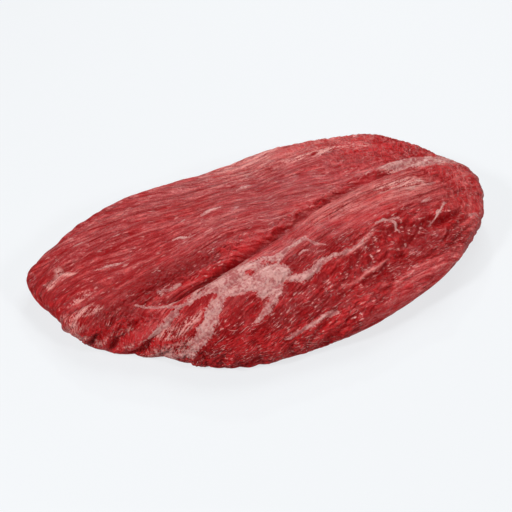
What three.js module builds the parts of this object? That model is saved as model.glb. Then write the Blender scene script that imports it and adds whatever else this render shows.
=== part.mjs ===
// Raw beef flank: one trimmed muscle, lying flat, with the grain along its length.
// It is one closed skin. A square map (u, v) from -1 to 1 is laid over the top and the sides, so that its
// u lines follow the grain, and the flat underside closes it where the meat rests.
// Millimetres. +X is the thick end, +Y the back edge, +Z up.
import * as THREE from "three";
import { mergeVertices } from "three/addons/utils/BufferGeometryUtils.js";

// Plan
const HALF_LENGTH = 140;
const HALF_WIDTH = 79;
// How far the outline stands out from that ellipse, every 22.5 degrees from +X round by the back edge
const OUTLINE = [
  1.015, 0.98, 1.02, 0.92, 0.855, 0.95, 1.04, 1.09,
  0.98, 0.985, 0.945, 1.08, 1.04, 0.985, 0.97, 0.98,
];

// Section: how square the shoulder is in the same directions, from 1.7, a slope, to 2.8, a full edge
const SHOULDER = [2.6, 2.7, 2.8, 2.6, 2.4, 2.3, 2.2, 2.1, 2.0, 2.0, 1.9, 1.8, 1.7, 1.7, 1.9, 2.3];
const CROWN_STATIONS = [-140, -70, 0, 70, 140];
const CROWN_HEIGHTS = [33, 41, 45, 47, 44];
const RIM_SHARE = 0.4; // height of the widest line, as a share of the crown
const FOOT_INSET = 7; // the resting face's edge lies this far inside the widest line
const TYPICAL = { reach: 100, rise: 26, drop: 18 }; // a middling section, for even steps along the skin

// The skin as it would lie unrolled: its half length along the grain and its half width across it
const SKIN_HALF_P = 170;
const SKIN_HALF_Q = 106;

// Folds in the skin, each along a path of (along, across, height) points of the unrolled skin. Heights are
// out of the meat, and half widths are on the back side and on the front side of the path.
const SEAM = [
  [122, 18, 0], [98, 11, -1.6], [78, 5, -2], [37, -8, -2.4], [-2, -21, -2.8],
  [-35, -33, -4.4], [-60, -41, -4.6], [-80, -46, -2.6], [-98, -44, 0],
];
const FRONT_CREST = [
  [100, 2, 0], [78, -5, 1.4], [37, -19, 1.8], [-2, -31, 2.8],
  [-35, -42, 4.2], [-60, -48, 3.5], [-80, -53, 1.5], [-98, -58, 0],
];
const FACET_EDGE = [[104, -24, 0], [76, -31, 3], [60, -35, 3], [42, -45, 3], [22, -54, 2.5], [-2, -60, 0]];
const TROUGH = [
  [124, -38, 0], [100, -46, -4.5], [86, -55, -5.5], [66, -62, -5.5],
  [44, -67, -5.5], [18, -74, -4], [-12, -78, 0],
];
const LIP = [[130, -60, 0], [104, -79, 4], [68, -87, 4.4], [31, -90, 4], [-10, -96, 0]];
const HOLLOW = [[84, -2, 0], [94, -8, -3.5], [106, -12, -2], [118, -14, 0]];
// Grooves between the ends of the bundles, at the front of the thin end
const BUNDLE_ENDS = [
  [[-112, -38, 0], [-128, -46, -4.5], [-160, -49, -4.5]],
  [[-104, -48, 0], [-124, -56, -4.5], [-160, -64, -4.5]],
  [[-100, -62, 0], [-122, -71, -4], [-158, -80, -4]],
];
const FOLDS = [
  { path: SEAM, back: 4, front: 2.4 },
  { path: FRONT_CREST, back: 4, front: 17 },
  { path: FACET_EDGE, back: 9, front: 5 },
  { path: TROUGH, back: 8, front: 8 },
  { path: LIP, back: 8, front: 12 },
  { path: HOLLOW, back: 6, front: 7 },
  ...BUNDLE_ENDS.map((path) => ({ path, back: 3, front: 3 })),
];

// How far the grain turns across the skin for each millimetre along it: behind the seam, and in front of it
const BACK_TURN = 0.04;
const FRONT_TURN = 0.36;
const TURN_BLUR = 4;

// Relief: [pitch along the grain, pitch across it, height, seed]
const SWELLS = [62, 34, 1.5, 11];
const DRIFT = [90, 40, 6, 7]; // how far the bundles wander to the side
const BUNDLES = [80, 9, 1.3, 23];
const STRANDS = [46, 5, 0.5, 37];
const CRAGS = [36, 12, 1.3, 41];
const FLAKES = [26, 7.5, 0.9, 59];
const CLEFT = { gain: 1.5, power: 0.7 }; // how narrow the clefts are between ridges
const RELIEF_CLEAR = 9; // the relief fades out over this height above the table

// The torn surface: the front slope below a wandering edge, and part of the thick end
const TORN_FRONT = { thin: -66, thick: -34, from: -110, to: 70, blur: 8 };
const TORN_WANDER = [30, 30, 5, 71];
const TORN_END = { share: 0.55, from: 95, to: 130 };

// Ends of the muscle bundles, which scallop the front edge near the thin end, from one angle to another
const SCALLOP = { pitch: 17, depth: 5, inset: 1.6, row: 0.3, seed: 83 };
const SCALLOP_SPAN = { from: 188, to: 258, blur: 12 };
const SCALLOP_REACH = { from: 0.55, to: 0.95 };

// Mesh steps along and across the grain, and steps in the section, over the shoulder and under it
const STEPS_ALONG = 58;
const STEPS_ACROSS = 92;
const SHOULDER_STEPS = 160;
const FOOT_STEPS = 40;
const SLOPE_STEP = 0.004; // a small step of u or v, for the direction out of the skin

const MEAT_RED = 0x9c2328;

function lerp(a, b, t) {
  return a + (b - a) * t;
}

function smoothstep(low, high, x) {
  const t = Math.min(1, Math.max(0, (x - low) / (high - low)));
  return t * t * (3 - 2 * t);
}

function catmullRom(a, b, c, d, t) {
  return b + 0.5 * t * (c - a + t * (2 * a - 5 * b + 4 * c - d + t * (3 * (b - c) + d - a)));
}

// A value that is given at even steps round the outline, at an angle in radians
function roundValue(values, angle) {
  const n = values.length;
  const at = (((angle / (2 * Math.PI)) % 1) + 1) % 1 * n;
  const i = Math.floor(at);
  const pick = (k) => values[(i + k + n) % n];
  return catmullRom(pick(-1), pick(0), pick(1), pick(2), at - i);
}

function crownHeight(x) {
  const last = CROWN_STATIONS.length - 1;
  const step = CROWN_STATIONS[1] - CROWN_STATIONS[0];
  const at = Math.min(last - 1e-9, Math.max(0, (x - CROWN_STATIONS[0]) / step));
  const i = Math.floor(at);
  const pick = (k) => CROWN_HEIGHTS[Math.min(last, Math.max(0, i + k))];
  return catmullRom(pick(-1), pick(0), pick(1), pick(2), at - i);
}

// Points down a middling section, from the crown over the shoulder to the resting face's edge:
// reach as a share of the outline's, and level, 1 at the crown, 0 at the widest line, -1 on the table
function sectionTable(shoulder) {
  const points = [];
  for (let k = 0; k <= SHOULDER_STEPS; k++) {
    const a = (k / SHOULDER_STEPS) * (Math.PI / 2);
    const s = Math.sin(a);
    const c = Math.max(0, Math.cos(a));
    const r = Math.pow(Math.pow(s, shoulder) + Math.pow(c, shoulder), -1 / shoulder);
    points.push([r * s, r * c]);
  }
  for (let k = 1; k <= FOOT_STEPS; k++) {
    const a = (k / FOOT_STEPS) * (Math.PI / 2);
    points.push([1 - (FOOT_INSET / TYPICAL.reach) * (1 - Math.cos(a)), -Math.sin(a)]);
  }
  let length = 0;
  const along = points.map(([reach, level], k) => {
    if (k > 0) {
      const rise = k <= SHOULDER_STEPS ? TYPICAL.rise : TYPICAL.drop;
      length += Math.hypot((reach - points[k - 1][0]) * TYPICAL.reach, (level - points[k - 1][1]) * rise);
    }
    return length;
  });
  return { points, along, length };
}

const tables = new Map();
function sectionPoint(share, shoulder) {
  const key = Math.round(shoulder * 100);
  if (!tables.has(key)) tables.set(key, sectionTable(key / 100));
  const { points, along, length } = tables.get(key);
  const target = Math.min(1, share) * length;
  let k = 1;
  while (k < along.length - 1 && along[k] < target) k++;
  const t = (target - along[k - 1]) / (along[k] - along[k - 1]);
  return [lerp(points[k - 1][0], points[k][0], t), lerp(points[k - 1][1], points[k][1], t)];
}

// Noise from -1 to 1 on a lattice, the same on every run
function lattice(ix, iy, seed) {
  let h = Math.imul(ix, 374761393) ^ Math.imul(iy, 668265263) ^ Math.imul(seed, 1442695041);
  h = Math.imul(h ^ (h >>> 13), 1274126177);
  return ((h ^ (h >>> 16)) >>> 0) / 4294967296;
}

function noise(x, y, seed) {
  const ix = Math.floor(x);
  const iy = Math.floor(y);
  const fx = x - ix;
  const fy = y - iy;
  const slope = (dx, dy) => {
    const angle = 2 * Math.PI * lattice(ix + dx, iy + dy, seed);
    return Math.cos(angle) * (fx - dx) + Math.sin(angle) * (fy - dy);
  };
  const sx = fx * fx * fx * (fx * (6 * fx - 15) + 10);
  const sy = fy * fy * fy * (fy * (6 * fy - 15) + 10);
  return 1.5 * lerp(lerp(slope(0, 0), slope(1, 0), sx), lerp(slope(0, 1), slope(1, 1), sx), sy);
}

function relief([pitchAlong, pitchAcross, height, seed], p, q) {
  return height * noise(p / pitchAlong, q / pitchAcross, seed);
}

// Rounded ridges with narrow clefts between them
function clefts([pitchAlong, pitchAcross, height, seed], p, q) {
  const n = Math.abs(noise(p / pitchAlong, q / pitchAcross, seed));
  return height * (2 * Math.min(1, n * CLEFT.gain) ** CLEFT.power - 1);
}

// Height of a fold at an unrolled point
function fold({ path, back, front }, p, q) {
  let best = { far: Infinity };
  for (let k = 1; k < path.length; k++) {
    const [ax, ay, from] = path[k - 1];
    const [bx, by, to] = path[k];
    const dx = bx - ax;
    const dy = by - ay;
    const t = Math.min(1, Math.max(0, ((p - ax) * dx + (q - ay) * dy) / (dx * dx + dy * dy)));
    const ox = p - ax - t * dx;
    const oy = q - ay - t * dy;
    const far = Math.hypot(ox, oy);
    if (far < best.far) best = { far, side: oy, height: lerp(from, to, t) };
  }
  const wide = best.side > 0 ? back : front;
  return best.height * Math.exp(-Math.pow(best.far / wide, 2));
}

// Where the seam lies across the skin, at a distance along it
function seamAt(p) {
  const first = SEAM[0];
  const last = SEAM[SEAM.length - 1];
  if (p >= first[0]) return first[1];
  if (p <= last[0]) return last[1];
  const k = SEAM.findIndex((point) => point[0] <= p);
  const [a, b] = [SEAM[k - 1], SEAM[k]];
  return lerp(a[1], b[1], (p - a[0]) / (b[0] - a[0]));
}

// Share of the coarse, torn surface at an unrolled point: all of the front slope, and the thick end
function tornShare(p, q) {
  const { thin, thick, from, to, blur } = TORN_FRONT;
  const edge = lerp(thin, thick, smoothstep(from, to, p));
  const front = 1 - smoothstep(edge - blur, edge + blur, q + relief(TORN_WANDER, p, q));
  const end = TORN_END.share * smoothstep(TORN_END.from, TORN_END.to, p);
  return Math.max(front, end);
}

// Height of the skin's own relief at an unrolled point
function skinRelief(p, q) {
  const drift = relief(DRIFT, p, q);
  const front = 1 - smoothstep(-TURN_BLUR, TURN_BLUR, q - seamAt(p));
  const backGrain = q + drift - BACK_TURN * p;
  const frontGrain = q + drift - FRONT_TURN * p;
  const grain = lerp(
    clefts(BUNDLES, p, backGrain) + relief(STRANDS, p, backGrain),
    clefts(BUNDLES, p, frontGrain) + relief(STRANDS, p, frontGrain),
    front,
  );
  const crags = clefts(CRAGS, p, frontGrain) + relief(FLAKES, p, frontGrain);
  const folds = FOLDS.reduce((sum, f) => sum + fold(f, p, q), 0);
  return relief(SWELLS, p, q) + lerp(grain, crags, tornShare(p, q)) + folds;
}

// In and out steps of the edge where the bundles end
function scallop(angle) {
  const degrees = ((THREE.MathUtils.radToDeg(angle) % 360) + 360) % 360;
  const { from, to, blur } = SCALLOP_SPAN;
  const ends = 1 - smoothstep(to - blur, to + blur, degrees);
  const share = smoothstep(from - blur, from + blur, degrees) * ends;
  const { pitch, depth, inset, row, seed } = SCALLOP;
  const x = HALF_LENGTH * Math.cos(angle);
  return share * (depth * Math.abs(noise(x / pitch, row, seed)) - inset);
}

// The smooth form: a point of the skin for u and v from -1 to 1
function smoothForm(u, v) {
  const dx = u * Math.sqrt(1 - (v * v) / 2);
  const dy = v * Math.sqrt(1 - (u * u) / 2);
  const angle = Math.atan2(dy, dx);
  const share = Math.hypot(dx, dy);
  const stands = roundValue(OUTLINE, angle);
  const [reach, level] = sectionPoint(share, roundValue(SHOULDER, angle));
  const edge = smoothstep(SCALLOP_REACH.from, SCALLOP_REACH.to, share) * scallop(angle);
  const x = (HALF_LENGTH * stands + edge) * Math.cos(angle) * reach;
  const y = (HALF_WIDTH * stands + edge) * Math.sin(angle) * reach;
  const crown = crownHeight(x);
  const rim = RIM_SHARE * crown;
  return new THREE.Vector3(x, y, level > 0 ? lerp(rim, crown, level) : rim * (1 + level));
}

// The smooth form with its relief, which fades out just above the table
function skinPoint(u, v) {
  const at = smoothForm(u, v);
  const along = smoothForm(Math.min(1, u + SLOPE_STEP), v).sub(smoothForm(Math.max(-1, u - SLOPE_STEP), v));
  const across = smoothForm(u, Math.min(1, v + SLOPE_STEP)).sub(smoothForm(u, Math.max(-1, v - SLOPE_STEP)));
  const out = along.cross(across).normalize();
  const clear = smoothstep(0, RELIEF_CLEAR, at.z);
  return at.addScaledVector(out, clear * skinRelief(u * SKIN_HALF_P, v * SKIN_HALF_Q));
}

// The skin over the top and sides, closed by the flat resting face
function flankGeometry() {
  const rows = STEPS_ALONG + 1;
  const columns = STEPS_ACROSS + 1;
  const points = [];
  for (let i = 0; i < rows; i++) {
    for (let j = 0; j < columns; j++) {
      points.push(skinPoint((2 * i) / STEPS_ALONG - 1, (2 * j) / STEPS_ACROSS - 1));
    }
  }
  const index = [];
  const id = (i, j) => i * columns + j;
  for (let i = 0; i < STEPS_ALONG; i++) {
    for (let j = 0; j < STEPS_ACROSS; j++) {
      // Each square is split along the grain, but at two corners of the skin from the corner inwards
      const corners = [id(i, j), id(i + 1, j), id(i + 1, j + 1), id(i, j + 1)];
      const turned = (i === STEPS_ALONG - 1 && j === 0) || (i === 0 && j === STEPS_ACROSS - 1);
      const [a, b, c, d] = turned ? [...corners.slice(1), corners[0]] : corners;
      index.push(a, b, c, a, c, d);
    }
  }
  const loop = [];
  for (let i = 0; i < STEPS_ALONG; i++) loop.push(id(i, 0));
  for (let j = 0; j < STEPS_ACROSS; j++) loop.push(id(STEPS_ALONG, j));
  for (let i = STEPS_ALONG; i > 0; i--) loop.push(id(i, STEPS_ACROSS));
  for (let j = STEPS_ACROSS; j > 0; j--) loop.push(id(0, j));
  const contour = loop.map((k) => new THREE.Vector2(points[k].x, points[k].y));
  for (const [a, b, c] of THREE.ShapeUtils.triangulateShape(contour, [])) {
    index.push(loop[a], loop[c], loop[b]);
  }
  loop.forEach((k) => points[k].setZ(0));
  const geometry = new THREE.BufferGeometry().setFromPoints(points);
  geometry.setIndex(index);
  return mergeVertices(geometry);
}

// The origin is under the middle of the meat
const geometry = flankGeometry();
geometry.computeBoundingBox();
const middle = geometry.boundingBox.getCenter(new THREE.Vector3());
geometry.translate(-middle.x, -middle.y, 0);
geometry.computeVertexNormals();

const meat = new THREE.MeshStandardMaterial({ color: MEAT_RED, roughness: 0.45, metalness: 0 });
const flank = new THREE.Mesh(geometry, meat);
flank.name = "flank";

const group = new THREE.Group();
group.add(flank);

export default group;
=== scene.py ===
import math

import bpy
import numpy as np
from mathutils import Matrix, Vector


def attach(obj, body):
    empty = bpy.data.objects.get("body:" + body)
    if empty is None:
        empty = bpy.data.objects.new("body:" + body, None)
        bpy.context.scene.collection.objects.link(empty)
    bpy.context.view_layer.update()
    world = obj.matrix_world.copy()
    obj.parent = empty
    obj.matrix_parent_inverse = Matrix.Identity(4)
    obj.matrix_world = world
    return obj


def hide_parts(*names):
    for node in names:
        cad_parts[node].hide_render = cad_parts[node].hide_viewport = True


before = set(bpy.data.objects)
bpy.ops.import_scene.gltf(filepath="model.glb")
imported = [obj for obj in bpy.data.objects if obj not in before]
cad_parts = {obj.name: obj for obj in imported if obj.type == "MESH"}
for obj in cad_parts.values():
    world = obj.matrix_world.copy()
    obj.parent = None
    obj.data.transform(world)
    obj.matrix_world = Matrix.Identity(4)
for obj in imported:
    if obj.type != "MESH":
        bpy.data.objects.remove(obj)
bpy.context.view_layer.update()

# The muscle. A raw beef flank is one flat muscle, cut free along its natural seams and trimmed by knife. Its
# fibres run the long way in bundles, a seam parts the back from the front lobe, and the front slope is torn.
MM = 0.001
HALF_LENGTH = 140
HALF_WIDTH = 79
# How far the outline stands out from that ellipse, every 22.5 degrees from +X round by the back edge
OUTLINE = [
    1.015, 0.98, 1.02, 0.92, 0.855, 0.95, 1.04, 1.09,
    0.98, 0.985, 0.945, 1.08, 1.04, 0.985, 0.97, 0.98,
]
# How square the shoulder is in the same directions, and the crown's height at stations along the meat
SHOULDER = [2.6, 2.7, 2.8, 2.6, 2.4, 2.3, 2.2, 2.1, 2.0, 2.0, 1.9, 1.8, 1.7, 1.7, 1.9, 2.3]
CROWN_STATIONS = [-140, -70, 0, 70, 140]
CROWN_HEIGHTS = [33, 41, 45, 47, 44]
# The rim's share of the crown's height, how far the foot tucks in, and a middling section's sizes and steps
RIM_SHARE = 0.4
FOOT_INSET = 7
TYPICAL_REACH = 100
TYPICAL_RISE = 26
TYPICAL_DROP = 18
SHOULDER_STEPS = 160
FOOT_STEPS = 40
# The skin as it would lie unrolled: half length along the grain (p) and half width across it (q)
SKIN_HALF_P = 170
SKIN_HALF_Q = 106
SLOPE_STEP = 0.004
# The middle of the solid's box, which moves to the origin
MIDDLE = (-0.83, -6.8)


def lerp(a, b, t):
    return a + (b - a) * t


def smoothstep(low, high, x):
    t = np.clip((x - low) / (high - low), 0, 1)
    return t * t * (3 - 2 * t)


# From 1 below an edge to 0 above it
def below(edge, blur, x):
    return 1 - smoothstep(-blur, blur, x - edge)


def catmull_rom(a, b, c, d, t):
    return b + 0.5 * t * (c - a + t * (2 * a - 5 * b + 4 * c - d + t * (3 * (b - c) + d - a)))


def round_value(values, angle):
    values = np.array(values)
    at = (angle / (2 * math.pi)) % 1 * len(values)
    i = np.floor(at).astype(int)
    a, b, c, d = (values[(i + k) % len(values)] for k in (-1, 0, 1, 2))
    return catmull_rom(a, b, c, d, at - i)


def crown_height(x):
    heights = np.array(CROWN_HEIGHTS)
    last = len(heights) - 1
    at = np.clip(np.interp(x, CROWN_STATIONS, range(last + 1)), 0, last - 1e-9)
    i = np.floor(at).astype(int)
    a, b, c, d = (heights[np.clip(i + k, 0, last)] for k in (-1, 0, 1, 2))
    return catmull_rom(a, b, c, d, at - i)


# Reach and level down a middling section, from the crown over the shoulder to the resting face's edge
def section_rows(shoulder, shares):
    turn = np.linspace(0, math.pi / 2, SHOULDER_STEPS + 1)
    sine = np.sin(turn)
    cosine = np.maximum(0, np.cos(turn))
    radius = (sine ** shoulder + cosine ** shoulder) ** (-1 / shoulder)
    under = np.linspace(0, math.pi / 2, FOOT_STEPS + 1)[1:]
    reach = np.concatenate([radius * sine, 1 - FOOT_INSET / TYPICAL_REACH * (1 - np.cos(under))])
    level = np.concatenate([radius * cosine, -np.sin(under)])
    rise = np.where(np.arange(1, len(reach)) <= SHOULDER_STEPS, TYPICAL_RISE, TYPICAL_DROP)
    steps = np.hypot(np.diff(reach) * TYPICAL_REACH, np.diff(level) * rise)
    along = np.concatenate([[0], np.cumsum(steps)])
    return np.interp(shares, along / along[-1], reach), np.interp(shares, along / along[-1], level)


SQUARENESS = np.linspace(1.6, 3, 15)
SHARES = np.linspace(0, 1, 513)
SECTIONS = np.array([section_rows(shoulder, SHARES) for shoulder in SQUARENESS])


# Reach and level at a share of the way down, under a shoulder of any squareness in that range
def section_point(share, shoulder):
    row = np.interp(shoulder, SQUARENESS, np.arange(len(SQUARENESS)) * (1 - 1e-6))
    column = np.clip(share, 0, 1) * (len(SHARES) - 1.001)
    i = row.astype(int)
    j = column.astype(int)
    point = []
    for table in (SECTIONS[:, 0], SECTIONS[:, 1]):
        low = lerp(table[i, j], table[i, j + 1], column - j)
        high = lerp(table[i + 1, j], table[i + 1, j + 1], column - j)
        point.append(lerp(low, high, row - i))
    return point


# Noise from -1 to 1 on a lattice, the same on every run
def lattice(ix, iy, seed):
    word = 0xFFFFFFFF
    mixed = (ix.astype(np.int64) * 374761393 & word) ^ (iy.astype(np.int64) * 668265263 & word)
    mixed ^= seed * 1442695041 & word
    mixed = (mixed ^ (mixed >> 13)).astype(np.uint64) * np.uint64(1274126177) & np.uint64(word)
    return (mixed ^ (mixed >> np.uint64(16))) / 4294967296


def noise(x, y, seed):
    ix = np.floor(x)
    iy = np.floor(y)
    fx = x - ix
    fy = y - iy

    def corner(dx, dy):
        turn = 2 * math.pi * lattice(ix + dx, iy + dy, seed)
        return np.cos(turn) * (fx - dx) + np.sin(turn) * (fy - dy)

    sx = fx ** 3 * (fx * (6 * fx - 15) + 10)
    sy = fy ** 3 * (fy * (6 * fy - 15) + 10)
    return 1.5 * lerp(lerp(corner(0, 0), corner(1, 0), sx), lerp(corner(0, 1), corner(1, 1), sx), sy)


# A relief is (pitch along the grain, pitch across it, height, seed). Clefts make rounded ridges.
CLEFT_GAIN = 1.5
CLEFT_POWER = 0.7


def relief(pattern, p, q):
    pitch_along, pitch_across, height, seed = pattern
    return height * noise(p / pitch_along, q / pitch_across, seed)


# Places moved a little along and across the grain, each by a relief
def bent(wander, p, q):
    along, across = wander
    return p + relief(along, p, q), q + relief(across, p, q)


def clefts(pattern, p, q):
    pitch_along, pitch_across, height, seed = pattern
    ridge = np.abs(noise(p / pitch_along, q / pitch_across, seed))
    return height * (2 * np.minimum(1, ridge * CLEFT_GAIN) ** CLEFT_POWER - 1)


# The nearest point of a path of (along, across, value) points: how far, on which side, and its value
def nearest(path, p, q):
    far = np.full(p.shape, np.inf)
    side = np.zeros(p.shape)
    value = np.zeros(p.shape)
    for (ax, ay, start), (bx, by, end) in zip(path, path[1:]):
        dx = bx - ax
        dy = by - ay
        t = np.clip(((p - ax) * dx + (q - ay) * dy) / (dx * dx + dy * dy), 0, 1)
        ox = p - ax - t * dx
        oy = q - ay - t * dy
        here = np.hypot(ox, oy)
        closer = here < far
        far = np.where(closer, here, far)
        side = np.where(closer, oy, side)
        value = np.where(closer, lerp(start, end, t), value)
    return far, side, value


# Folds: path with heights in mm, then half widths on the back side and the front side of the path
SEAM = [
    (122, 18, 0), (98, 11, -1.6), (78, 5, -2), (37, -8, -2.4), (-2, -21, -2.8),
    (-35, -33, -4.4), (-60, -41, -4.6), (-80, -46, -2.6), (-98, -44, 0),
]
FRONT_CREST = [
    (100, 2, 0), (78, -5, 1.4), (37, -19, 1.8), (-2, -31, 2.8),
    (-35, -42, 4.2), (-60, -48, 3.5), (-80, -53, 1.5), (-98, -58, 0),
]
FACET_EDGE = [(104, -24, 0), (76, -31, 3), (60, -35, 3), (42, -45, 3), (22, -54, 2.5), (-2, -60, 0)]
TROUGH = [
    (124, -38, 0), (100, -46, -4.5), (86, -55, -5.5), (66, -62, -5.5),
    (44, -67, -5.5), (18, -74, -4), (-12, -78, 0),
]
LIP = [(130, -60, 0), (104, -79, 4), (68, -87, 4.4), (31, -90, 4), (-10, -96, 0)]
HOLLOW = [(84, -2, 0), (94, -8, -3.5), (106, -12, -2), (118, -14, 0)]
BUNDLE_ENDS = [
    [(-112, -38, 0), (-128, -46, -4.5), (-160, -49, -4.5)],
    [(-104, -48, 0), (-124, -56, -4.5), (-160, -64, -4.5)],
    [(-100, -62, 0), (-122, -71, -4), (-158, -80, -4)],
]
FOLDS = [
    (SEAM, 4, 2.4),
    (FRONT_CREST, 4, 17),
    (FACET_EDGE, 9, 5),
    (TROUGH, 8, 8),
    (LIP, 8, 12),
    (HOLLOW, 6, 7),
    *((path, 3, 3) for path in BUNDLE_ENDS),
]


def fold(path, back, front, p, q):
    far, side, height = nearest(path, p, q)
    return height * np.exp(-(far / np.where(side > 0, back, front)) ** 2)


def seam_at(p):
    along, across, height = zip(*reversed(SEAM))
    return np.interp(p, along, across)


# Share of the coarse, torn surface: the front slope below a wandering edge, and part of the thick end. The
# edge climbs from the first place across to the second, over a stretch along the grain.
TORN_EDGE_Q = (-66, -34)
TORN_EDGE_P = (-110, 70)
TORN_BLUR = 8
TORN_WANDER = (30, 30, 5, 71)
TORN_END = (95, 130)
TORN_END_SHARE = 0.55


def torn_share(p, q):
    edge = lerp(*TORN_EDGE_Q, smoothstep(*TORN_EDGE_P, p))
    front = below(edge, TORN_BLUR, q + relief(TORN_WANDER, p, q))
    return np.maximum(front, TORN_END_SHARE * smoothstep(*TORN_END, p))


# The relief that the solid has too: swells, long bundles, crags on the torn slope, and the folds. Here the
# grain and the crags are half as high at the thick end, where the meat's outline is smooth.
SWELLS = (62, 34, 1.5, 11)
DRIFT = (90, 40, 6, 7)
BUNDLES = (80, 9, 1.3, 23)
STRANDS = (46, 5, 0.5, 37)
CRAGS = (36, 12, 1.3, 41)
FLAKES = (26, 7.5, 0.9, 59)
BACK_TURN = 0.04
FRONT_TURN = 0.36
TURN_BLUR = 4
THICK_END = (112, 132)
END_CALM = 0.5


def main_relief(p, q):
    drift = relief(DRIFT, p, q)
    front = below(seam_at(p), TURN_BLUR, q)
    back_grain = q + drift - BACK_TURN * p
    front_grain = q + drift - FRONT_TURN * p
    grain = lerp(
        clefts(BUNDLES, p, back_grain) + relief(STRANDS, p, back_grain),
        clefts(BUNDLES, p, front_grain) + relief(STRANDS, p, front_grain),
        front,
    )
    crags = clefts(CRAGS, p, front_grain) + relief(FLAKES, p, front_grain)
    folds = sum(fold(*each, p, q) for each in FOLDS)
    calmed = 1 - END_CALM * smoothstep(*THICK_END, p)
    return relief(SWELLS, p, q) + calmed * lerp(grain, crags, torn_share(p, q)) + folds


# The edge steps in and out where the bundles end, at the front of the thin end: the directions between which
# the steps come and go, the share of the way down over which they grow, and their sizes
SCALLOPS_COME = (176, 200)
SCALLOPS_GO = (246, 270)
SCALLOPS_GROW = (0.55, 0.95)
SCALLOP_PITCH = 17
SCALLOP_DEPTH = 5
SCALLOP_INSET = 1.6
SCALLOP_ROW = 0.3
SCALLOP_SEED = 83


def scallop(angle):
    degrees = np.degrees(angle) % 360
    share = smoothstep(*SCALLOPS_COME, degrees) * (1 - smoothstep(*SCALLOPS_GO, degrees))
    x = HALF_LENGTH * np.cos(angle) / SCALLOP_PITCH
    steps = np.abs(noise(x, np.full(x.shape, SCALLOP_ROW), SCALLOP_SEED))
    return share * (SCALLOP_DEPTH * steps - SCALLOP_INSET)


# The form without its relief, in mm, with the middle of the solid's box at the origin
def smooth_form(u, v):
    dx = u * np.sqrt(1 - v * v / 2)
    dy = v * np.sqrt(1 - u * u / 2)
    angle = np.arctan2(dy, dx)
    share = np.hypot(dx, dy)
    stands = round_value(OUTLINE, angle)
    reach, level = section_point(share, round_value(SHOULDER, angle))
    edge = smoothstep(*SCALLOPS_GROW, share) * scallop(angle)
    x = (HALF_LENGTH * stands + edge) * np.cos(angle) * reach
    y = (HALF_WIDTH * stands + edge) * np.sin(angle) * reach
    crown = crown_height(x)
    rim = RIM_SHARE * crown
    z = np.where(level > 0, lerp(rim, crown, level), rim * (1 + level))
    return np.stack([x - MIDDLE[0], y - MIDDLE[1], z], -1)


# The directions along, across and out of the smooth form
def skin_frame(u, v):
    along = smooth_form(np.minimum(1, u + SLOPE_STEP), v) - smooth_form(np.maximum(-1, u - SLOPE_STEP), v)
    across = smooth_form(u, np.minimum(1, v + SLOPE_STEP)) - smooth_form(u, np.maximum(-1, v - SLOPE_STEP))
    out = np.cross(along, across)
    return [d / (np.linalg.norm(d, axis=-1, keepdims=True) + 1e-12) for d in (along, across, out)]


# Where the fibres run, as a coordinate across them in mm. Behind the seam they fan out to the thin end, and
# in front of it they slant down to the front edge, less so low on the front slope.
SWAY = (60, 30, 0.8, 13)
FAN = 0.007
FAN_FROM = -35
FOOT_SLANT = 0.4
FOOT_FADE = (-86, -52)
FOOT_LEAN = 0.25
FRONT_DRIFT = 0.6
FRONT_FLOW_P = [-170, -145, -120, -90, -60, -20, 20, 60, 100, 140]
FRONT_FLOW_Q = [-64, -60, -46, -30, -16, 0, 12, 23, 31, 31]
# In front of this line the front fibres show. Past the seam's thin end it runs on up the end of the meat.
FRONT_LINE_P = [-170, -128, -108, -98, *(along for along, across, height in reversed(SEAM[:-1]))]
FRONT_LINE_Q = [-8, -14, -26, -42, *(across for along, across, height in reversed(SEAM[:-1]))]


def across_grain(p, q):
    drift = relief(DRIFT, p, q) + relief(SWAY, p, q)
    back = q * np.exp(-FAN * np.maximum(0, FAN_FROM - p)) + drift
    slant = lerp(FOOT_SLANT, 1, smoothstep(*FOOT_FADE, q - FOOT_LEAN * p))
    front = q - slant * np.interp(p, FRONT_FLOW_P, FRONT_FLOW_Q) + FRONT_DRIFT * drift
    return back, front


# From 0 behind that line to 1 in front of it. The change is sharp at the seam and soft past its thin end.
LINE_BLUR = (9, 1)
PAST_SEAM = (-112, -92)


def front_share(p, q):
    blur = lerp(*LINE_BLUR, smoothstep(*PAST_SEAM, p))
    return below(np.interp(p, FRONT_LINE_P, FRONT_LINE_Q), blur, q)


# From 1 on a path of (along, across, half width) points to 0 outside it, and where it fades, in half widths
STROKE_FADE = (0.4, 1.5)


def stroke(path, p, q):
    far, side, half_width = nearest(path, p, q)
    return 1 - smoothstep(*STROKE_FADE, far / half_width)


# The kinds of surface, each as a share from 0 to 1 with a wandering edge: the smooth lower lip, the bumpy
# strip behind the seam, the pebbled thick end, the creased back, the short lobes of the thin end, and the
# torn slope
LIP_TOP_Q = (-96, -70)
LIP_TOP_P = (-10, 110)
LIP_BLUR = 4
LIP_START = (0, 40)
LIP_WANDER = (26, 14, 3, 91)
STRIP_WANDER = (20, 14, 3, 93)
PEBBLED_FROM = (80, 108)
PEBBLED_LEAN = 0.35
END_WANDER = (24, 24, 8, 95)
CREASED_FROM_P = (26, 58)
CREASED_FROM_Q = (2, 12)
CREASED_LEAN = 0.1
CREASES_WANDER = (30, 20, 8, 97)
LOBES_WANDER = (18, 12, 4, 99)
BUMPY_STRIP = [
    (-112, -40, 14), (-85, -30, 10), (-60, -28, 9), (-36, -24, 6),
    (-8, -17.5, 3.6), (24, -7, 2.6), (48, 1, 2.2), (66, 6, 1.4),
]
SHORT_LOBES = [(-166, -44, 8), (-140, -48, 12), (-118, -50, 12), (-100, -52, 5)]


def smooth_lip(p, q):
    top = lerp(*LIP_TOP_Q, smoothstep(*LIP_TOP_P, p))
    return below(top, LIP_BLUR, q + relief(LIP_WANDER, p, q)) * smoothstep(*LIP_START, p)


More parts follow.
